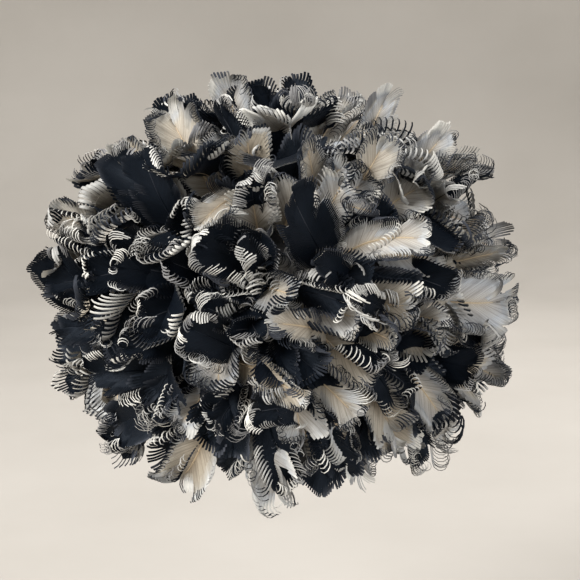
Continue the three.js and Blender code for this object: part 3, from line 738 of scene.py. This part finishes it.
def locks(feather, look, sign, rng):
    """Shares the strips of one side out between locks, and says how each strip curls."""
    share = strip_shares(feather, look["pitch"], sign)
    count = len(share)
    lock = np.zeros(count, int)
    first = 0
    while first < count:
        size = int(rng.integers(*LOCK_STRIPS))
        lock[first:first + size] = first
        first += size
    _, lock = np.unique(lock, return_inverse=True)
    total = lock[-1] + 1
    middle = np.bincount(lock, np.arange(count)) / np.bincount(lock)
    flat, tongue, plume = (KIND_NAMES.index(name) for name in ("flat", "tongue", "plume"))
    kind = rng.choice(len(KIND_NAMES), total, p=look["kinds"])
    at_tip = np.bincount(lock, share) / np.bincount(lock) > TONGUE_FROM
    kind = np.where(at_tip & ((kind == plume) | (rng.random(total) < TONGUE_SHARE)), tongue, kind)
    if rng.random() < look["calm"]:
        kind = np.where(rng.random(total) < CALM_FLAT, flat, kind)
    table = np.array(list(LOCK_KINDS.values()), float)[kind]
    table = {name: table[:, column] for column, name in enumerate(LOCK_COLUMNS)}
    turn = rng.uniform(table["turn_from"], table["turn_to"])
    radius = rng.uniform(table["radius_from"], table["radius_to"]) * MM
    loose = table["loose"][lock]
    way = rng.choice((-1, 1))
    lean = way * table["lean"] * rng.uniform(LEAST_LEAN, 1, total) * LARGEST_LEAN
    lean += LEAN_SCATTER * rng.normal(size=total)
    grown = np.clip(share / QUILL_PART, QUILL_TURN, 1)
    radius = radius[lock] * look["radius"] * (1 + loose * rng.normal(size=count))
    radius = np.maximum(radius, SMALLEST_RADIUS) * (QUILL_RADIUS + (1 - QUILL_RADIUS) * grown)
    _, _, _, _, full = barb_frame(feather, share, sign)
    split = (rng.random(total) < SPLIT_SHARE)[lock]
    outmost = rng.uniform(*OUTMOST, total)[lock] * np.where(split, SPLIT_DEPTH, 1)
    inward = np.clip(turn[lock] / STANDING_TURN, 0, 1)
    from_middle = np.arange(count) - middle[lock]
    gather = table["gather"][lock] * from_middle
    rounding = 1 - LOCK_ROUNDING * (2 * from_middle / np.bincount(lock)[lock]) ** 2
    turn = np.radians(turn)[lock] * grown * rounding * (1 + loose * rng.normal(size=count))
    swing = (
        LOCK_SWING * rng.normal(size=total)[lock] + gather
        + LOOSE_SWING * loose * rng.normal(size=count)
    )
    return {
        "kind": kind[lock],
        "share": share,
        "reach": np.clip(outmost - inward * radius / full, SHALLOWEST, 1),
        "turn": turn,
        "radius": radius,
        "swing": np.radians(swing),
        "lean": np.radians(lean)[lock],
        "narrowing": table["narrowing"][lock],
        "tightening": table["tightening"][lock],
        # On pale curls this tone also picks how shaded or lit they are painted
        "tone": rng.random(total)[lock] + STRIP_TONE * rng.normal(size=count),
        "lap": STRIP_LAP * rng.uniform(*LAP_SCATTER, total)[lock],
    }


def spacing(places, side_way):
    """How far apart neighbouring strips stand, measured across them."""
    step = np.gradient(places, axis=0)
    return np.abs(np.einsum("ij,ij->i", step, side_way)) + SMALLEST_ROOM


def add_strips(parts, feather, look, lock, sign):
    """The barb strips past the vane of one side."""
    share = lock["share"]
    point, along, barb, outward, length = barb_frame(feather, share, sign)
    side_way = np.cross(outward, barb)
    root = lock["reach"] - STRIP_OVERLAP
    root_rise = vane_rise(feather, look, share, root)
    edge_rise = vane_rise(feather, look, share, lock["reach"]) + STRIP_STAND_OFF
    start = point + (root * length)[:, None] * barb
    edge = point + (lock["reach"] * length)[:, None] * barb
    swing = -sign * lock["swing"]
    strips = {
        **lock,
        "start": start + root_rise[:, None] * outward,
        "edge": edge + edge_rise[:, None] * outward,
        "outward": outward,
        "along": along,
        "barb": np.cos(swing)[:, None] * barb + np.sin(swing)[:, None] * side_way,
        "start_width": side_way,
        "start_room": spacing(start, side_way),
        "edge_room": spacing(edge, side_way),
        "climb": np.arctan2(edge_rise - root_rise, STRIP_OVERLAP * length),
        "out": root * length,
        "place": share * feather.length,
    }
    for kind, name in enumerate(KIND_NAMES):
        chosen = lock["kind"] == kind
        if chosen.any():
            steps = LOCK_KINDS[name][LOCK_COLUMNS.index("steps")]
            add_curls(parts, look, {key: value[chosen] for key, value in strips.items()}, steps)


def add_curls(parts, look, strips, curl_steps):
    """Strips of one kind, each one straight at its root and then curled over the face."""
    barb, outward, radius = strips["barb"], strips["outward"], strips["radius"]
    side_way = np.cross(outward, barb)
    step_turn = strips["turn"] / curl_steps
    centres = [strips["start"], strips["edge"]]
    normals = [outward, outward]
    widths = [strips["start_width"], side_way]
    for k in range(curl_steps):
        lean = strips["lean"] * min(1, (k + 1) / LEAN_STEPS)
        lift = np.cos(lean)[:, None] * outward + np.sin(lean)[:, None] * side_way
        now = strips["climb"] + step_turn * (k + 0.5)
        span = radius * (1 - strips["tightening"] * (k + 0.5) / curl_steps) * step_turn
        move = np.cos(now)[:, None] * barb + np.sin(now)[:, None] * lift
        drift = look["drift"] * radius * step_turn / 2
        centres.append(centres[-1] + span[:, None] * move + drift[:, None] * strips["along"])
        after = strips["climb"] + step_turn * (k + 1)
        normals.append(np.cos(after)[:, None] * lift - np.sin(after)[:, None] * barb)
        widths.append(np.cross(lift, barb))
    centres, normals, widths = np.array(centres), np.array(normals), np.array(widths)
    rows, count = centres.shape[:2]
    down = np.linspace(0, 1, rows)[:, None]
    room = np.repeat(strips["edge_room"][None], rows, axis=0)
    room[0] = strips["start_room"]
    narrowed = down ** NARROWING_POWER
    narrowing = STRIP_NARROWING + (strips["narrowing"] - STRIP_NARROWING) * narrowed
    half = 0.5 * strips["lap"] * room * (1 - narrowing)
    ridge = centres - (STRIP_THICKNESS * (1 - STRIP_THINNING * down))[..., None] * normals
    ring = np.stack([
        centres + half[..., None] * widths, centres - half[..., None] * widths, ridge,
    ], axis=2).transpose(1, 0, 2, 3)

    travelled = np.cumsum(np.linalg.norm(np.diff(centres, axis=0), axis=-1), axis=0)
    out = strips["out"] + np.concatenate([np.zeros((1, count)), travelled])
    out = np.repeat(out.T[..., None], 3, axis=2)
    across = np.stack([half, -half, 0 * half], axis=-1).transpose(1, 0, 2)
    place = strips["place"][:, None, None] + across
    own = np.minimum(TONE_BLEND * down.T, 1)
    tone = look["tone"] + (strips["tone"] - look["tone"])[:, None] * own
    edge = STRIP_EDGE + (1 - STRIP_EDGE) * down.T
    tones = np.stack([
        np.repeat(tone[..., None], 3, axis=2), np.broadcast_to(edge[..., None], out.shape),
    ], axis=-1)
    first = (np.arange(count) * 3 * rows)[:, None, None]
    quads = (grid_quads(rows, 3).reshape(1, -1, 4) + first).reshape(-1, 4)
    materials = np.full((count, rows - 1, 3), look["back"])
    materials[:, :, 0] = look["face"]
    last = 3 * (rows - 1)
    ends = (np.array([[(0, 1, 2), (last, last + 2, last + 1)]]) + first).reshape(-1, 3)
    parts.add(ring, np.stack([out, place], axis=-1), tones, quads, materials, ends, look["face"])


def add_shaft(parts, feather, look):
    """The tapered shaft, four-sided, standing a little above the face."""
    share = np.linspace(0, 1, SHAFT_ROWS)
    point, along = feather.shaft(share * SHAFT_END)
    outward = np.cross(feather.side, along)
    radius = (SHAFT_RADIUS * (1 - SHAFT_TAPER * share))[:, None]
    sides = np.broadcast_to(feather.side, point.shape)
    ring = np.stack([
        point - radius * sides,
        point - SHAFT_DEPTH * radius * outward - VANE_THICKNESS * outward,
        point + radius * sides,
        point + radius * outward,
    ], axis=1)
    size = ring.shape[:2]
    out = np.zeros(size)
    place = np.broadcast_to((share * feather.length)[:, None], size)
    quads = grid_quads(*size).reshape(-1, 4)[:, ::-1]
    last = 4 * (SHAFT_ROWS - 1)
    ends = np.array([(0, 1, 2, 3), (last + 3, last + 2, last + 1, last)])
    tones = np.stack([
        np.full(size, look["tone"]), np.broadcast_to(share[:, None], size),
    ], axis=-1)
    materials = np.full(len(quads) + 2, look["shaft"])
    parts.add(ring, np.stack([out, place], axis=-1), tones, np.concatenate([quads, ends]), materials)


def feather_look(feather):
    """What varies from feather to feather, and the draws for its strips, the same every run."""
    rng = np.random.default_rng(FIRST_SEED + feather.number)
    look = {
        "face": BLACK if feather.dark else IVORY,
        "back": IVORY if feather.dark else BLACK,
        "shaft": BLACK if feather.dark else SHAFT,
        "tone": rng.random(),
        "cup": rng.uniform(*CUP),
        "ripple": rng.uniform(*RIPPLE) * MM,
        "waves": rng.uniform(*WAVES),
        "phase": rng.uniform(*PHASE),
        "radius": rng.uniform(*RADIUS_SCATTER),
        "kinds": DARK_KINDS if feather.dark else PALE_KINDS,
        "calm": CALM_DARK if feather.dark else CALM_PALE,
        "drift": rng.uniform(*DRIFT),
        "pitch": STRIP_PITCH * feather.coarseness,
    }
    return look, rng


def add_feather(parts, feather):
    look, rng = feather_look(feather)
    margins = {sign: locks(feather, look, sign, rng) for sign in (-1, 1)}
    add_vane(parts, feather, look, margins)
    for sign in (-1, 1):
        add_strips(parts, feather, look, margins[sign], sign)
    add_shaft(parts, feather, look)


# Materials

def new_material(name):
    material = bpy.data.materials.new(name)
    material.use_nodes = True
    tree = material.node_tree
    return material, tree, tree.nodes["Principled BSDF"]


def node(tree, kind, inputs=None, **settings):
    made = tree.nodes.new(kind)
    for key, value in settings.items():
        setattr(made, key, value)
    for key, value in (inputs or {}).items():
        if isinstance(value, bpy.types.NodeSocket):
            tree.links.new(value, made.inputs[key])
        else:
            made.inputs[key].default_value = value
    return made


def barb_noise(tree, out, along):
    """Noise drawn out along the barbs, with its scales out from the shaft and along it, per metre."""
    uv = node(tree, "ShaderNodeUVMap", uv_map="barbs")
    stretch = node(tree, "ShaderNodeMapping", {"Vector": uv.outputs[0], "Scale": (out, along, 1)})
    return node(tree, "ShaderNodeTexNoise", {
        "Vector": stretch.outputs[0], "Scale": 1.0, "Detail": 2.0, "Roughness": 0.6,
    }, noise_dimensions="2D").outputs[0]


def barb_bump(tree, shader, strength):
    """Fine barb lines, with a slight waver."""
    barbs = barb_noise(tree, *BARB_SCALE)
    bump = node(tree, "ShaderNodeBump", {
        "Height": barbs, "Strength": strength, "Distance": BARB_DEPTH,
    })
    tree.links.new(bump.outputs[0], shader.inputs["Normal"])
    return barbs


def ramp(tree, value, stops):
    made = node(tree, "ShaderNodeValToRGB", {"Fac": value})
    elements = made.color_ramp.elements
    while len(elements) < len(stops):
        elements.new(0.5)
    for element, (position, color) in zip(elements, stops):
        element.position = position
        element.color = (*color, 1)
    return made.outputs[0]


def blend(tree, value, stops):
    """How far one colour gives way to another, from stops with a share each."""
    return ramp(tree, value, [(position, (share, share, share)) for position, share in stops])


def carried(tree, name):
    """A number that every corner of the feathers carries."""
    return node(tree, "ShaderNodeAttribute", attribute_name=name).outputs["Fac"]


def set_inputs(shader, values):
    for key, value in values.items():
        shader.inputs[key].default_value = value


def mixed(tree, factor, one, two, blend_type="MIX"):
    made = node(tree, "ShaderNodeMix", data_type="RGBA", blend_type=blend_type)
    for key, value in (("Factor", factor), ("A", one), ("B", two)):
        socket = next(s for s in made.inputs if s.name == key and s.enabled)
        if isinstance(value, bpy.types.NodeSocket):
            tree.links.new(value, socket)
        else:
            socket.default_value = value
    return next(s for s in made.outputs if s.enabled)


def black_feather():
    material, tree, shader = new_material("black_feather")
    base = ramp(tree, barb_bump(tree, shader, strength=0.55), COLORS["black_vane"])
    curled = ramp(tree, carried(tree, "tone"), COLORS["black_curl"])
    share = blend(tree, carried(tree, "edge"), BLENDS["black_to_curl"])
    tree.links.new(mixed(tree, share, base, curled), shader.inputs["Base Color"])
    set_inputs(shader, {
        "Roughness": 0.5,
        "Specular IOR Level": 0.13,
        "Specular Tint": (0.7, 0.82, 1.0, 1),
        "Sheen Weight": 0.03,
        "Sheen Roughness": 0.4,
        "Sheen Tint": (0.6, 0.68, 0.9, 1),
    })
    return material


def ivory_feather():
    """Tan beside the shaft, cream to bluish white further out, with darker barb streaks, and curls in
    painted shade and painted light, from grey to white by their tone.
    """
    material, tree, shader = new_material("ivory_feather")
    tone = carried(tree, "tone")
    edge = carried(tree, "edge")
    inner = ramp(tree, tone, COLORS["ivory_inner"])
    outer = ramp(tree, tone, COLORS["ivory_outer"])
    color = mixed(tree, blend(tree, edge, BLENDS["inner_to_outer"]), inner, outer)
    streaks = ramp(tree, barb_bump(tree, shader, strength=0.5), COLORS["ivory_streaks"])
    color = mixed(tree, STREAK_DEPTH, color, streaks, "MULTIPLY")
    bands = ramp(tree, barb_noise(tree, *BAND_SCALE), COLORS["ivory_bands"])
    color = mixed(tree, BAND_DEPTH, color, bands, "MULTIPLY")
    # The curls' colour is painted shade and painted light: shaded grey to lit white by their tone
    curled = ramp(tree, tone, COLORS["ivory_curl_lit_and_shaded"])
    color = mixed(tree, blend(tree, edge, BLENDS["ivory_to_curl"]), color, curled)
    tree.links.new(color, shader.inputs["Base Color"])
    set_inputs(shader, {"Roughness": 0.5, "Sheen Weight": 0.15, "Sheen Roughness": 0.5})
    return material


def shaft_horn():
    material, tree, shader = new_material("shaft_horn")
    color = ramp(tree, barb_bump(tree, shader, strength=0.1), COLORS["horn"])
    tree.links.new(color, shader.inputs["Base Color"])
    set_inputs(shader, {"Roughness": 0.35})
    return material


def buckram_and_gap_shade():
    material, tree, shader = new_material("buckram_and_gap_shade")
    place = node(tree, "ShaderNodeTexCoord")
    weave = node(tree, "ShaderNodeTexVoronoi", {
        "Vector": place.outputs["Object"], "Scale": WEAVE_SCALE,
    })
    # Near black: partly the cap's colour, partly painted shade for the gaps between the feathers
    color = ramp(tree, weave.outputs["Distance"], COLORS["buckram_and_gap_shade"])
    bump = node(tree, "ShaderNodeBump", {
        "Height": weave.outputs["Distance"], "Strength": 0.6, "Distance": WEAVE_DEPTH,
    })
    tree.links.new(color, shader.inputs["Base Color"])
    tree.links.new(bump.outputs[0], shader.inputs["Normal"])
    set_inputs(shader, {"Roughness": 0.9})
    return material


def plaster():
    material, tree, shader = new_material("pale_plaster")
    place = node(tree, "ShaderNodeTexCoord")
    cloud = node(tree, "ShaderNodeTexNoise", {
        "Vector": place.outputs["Object"], "Scale": CLOUD_SCALE, "Detail": 6.0,
    })
    color = ramp(tree, cloud.outputs[0], COLORS["plaster"])
    tree.links.new(color, shader.inputs["Base Color"])
    set_inputs(shader, {"Roughness": 0.8})
    return material


# The hat

def build_hat():
    materials = [black_feather(), ivory_feather(), shaft_horn()]
    pads = {}
    for feather in all_feathers():
        add_feather(pads.setdefault(feather.pad, Parts()), feather)
    for name, parts in pads.items():
        piece = parts.to_object(name + "_feathers", materials)
        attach(piece, "root")
        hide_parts(name)
    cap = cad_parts["cap"]
    cap.data.materials.clear()
    cap.data.materials.append(buckram_and_gap_shade())


# Camera, floor and light

def look_from(place, target):
    return (Vector(target) - Vector(place)).to_track_quat("-Z", "Y").to_euler()


def build_camera():
    data = bpy.data.cameras.new("camera")
    camera = bpy.data.objects.new("camera", data)
    bpy.context.scene.collection.objects.link(camera)
    pixel = COVER_WIDTH / HAT_PIXELS
    data.sensor_width = SENSOR
    data.lens = SENSOR * VIEW_DISTANCE / (PICTURE * pixel)
    _, _, to_viewer, eye = view_of(0, FRONT_ABOVE)
    camera.location = eye
    camera.rotation_euler = look_from(eye, eye - to_viewer)
    data.shift_x = 0.5 - HAT_MIDDLE[0] / PICTURE
    data.shift_y = HAT_MIDDLE[1] / PICTURE - 0.5
    data.clip_start = NEAREST
    bpy.context.scene.camera = camera
    bpy.context.scene.view_settings.view_transform = "Standard"


def build_light(name, place, size, power, color):
    data = bpy.data.lights.new(name, "AREA")
    data.shape = "SQUARE"
    data.size = size
    data.energy = power
    data.color = color
    light = bpy.data.objects.new(name, data)
    bpy.context.scene.collection.objects.link(light)
    light.location = place
    light.rotation_euler = look_from(place, (0, 0, COVER_LEVEL))


def build_stage():
    """A pale floor that curves up into a plain wall, all round."""
    inner = STAGE_RADIUS - STAGE_BEND
    profile = [(inner, 0.0)]
    for k in range(1, STAGE_STEPS + 1):
        turn = math.pi / 2 * k / STAGE_STEPS
        profile.append((inner + STAGE_BEND * math.sin(turn), STAGE_BEND * (1 - math.cos(turn))))
    profile.append((STAGE_RADIUS, STAGE_HEIGHT))
    corners = [(0, 0, 0)]
    faces = []
    for k, (reach, level) in enumerate(profile):
        for i in range(STAGE_AROUND):
            turn = 2 * math.pi * i / STAGE_AROUND
            corners.append((reach * math.cos(turn), reach * math.sin(turn), level))
            a = 1 + k * STAGE_AROUND + i
            b = 1 + k * STAGE_AROUND + (i + 1) % STAGE_AROUND
            faces.append((a - STAGE_AROUND, a, b, b - STAGE_AROUND) if k else (0, a, b))
    mesh = bpy.data.meshes.new("backdrop")
    mesh.from_pydata(corners, [], faces)
    mesh.shade_smooth()
    mesh.materials.append(plaster())
    backdrop = bpy.data.objects.new("backdrop", mesh)
    backdrop.location = (0, 0, -FLOOR_DROP)
    bpy.context.scene.collection.objects.link(backdrop)


def build_lights():
    for light in LIGHTS:
        build_light(*light)
    world = bpy.data.worlds.new("room")
    bpy.context.scene.world = world
    world.use_nodes = True
    background = world.node_tree.nodes["Background"]
    background.inputs["Color"].default_value = ROOM_COLOR
    background.inputs["Strength"].default_value = ROOM_STRENGTH


build_camera()
build_hat()
build_stage()
build_lights()
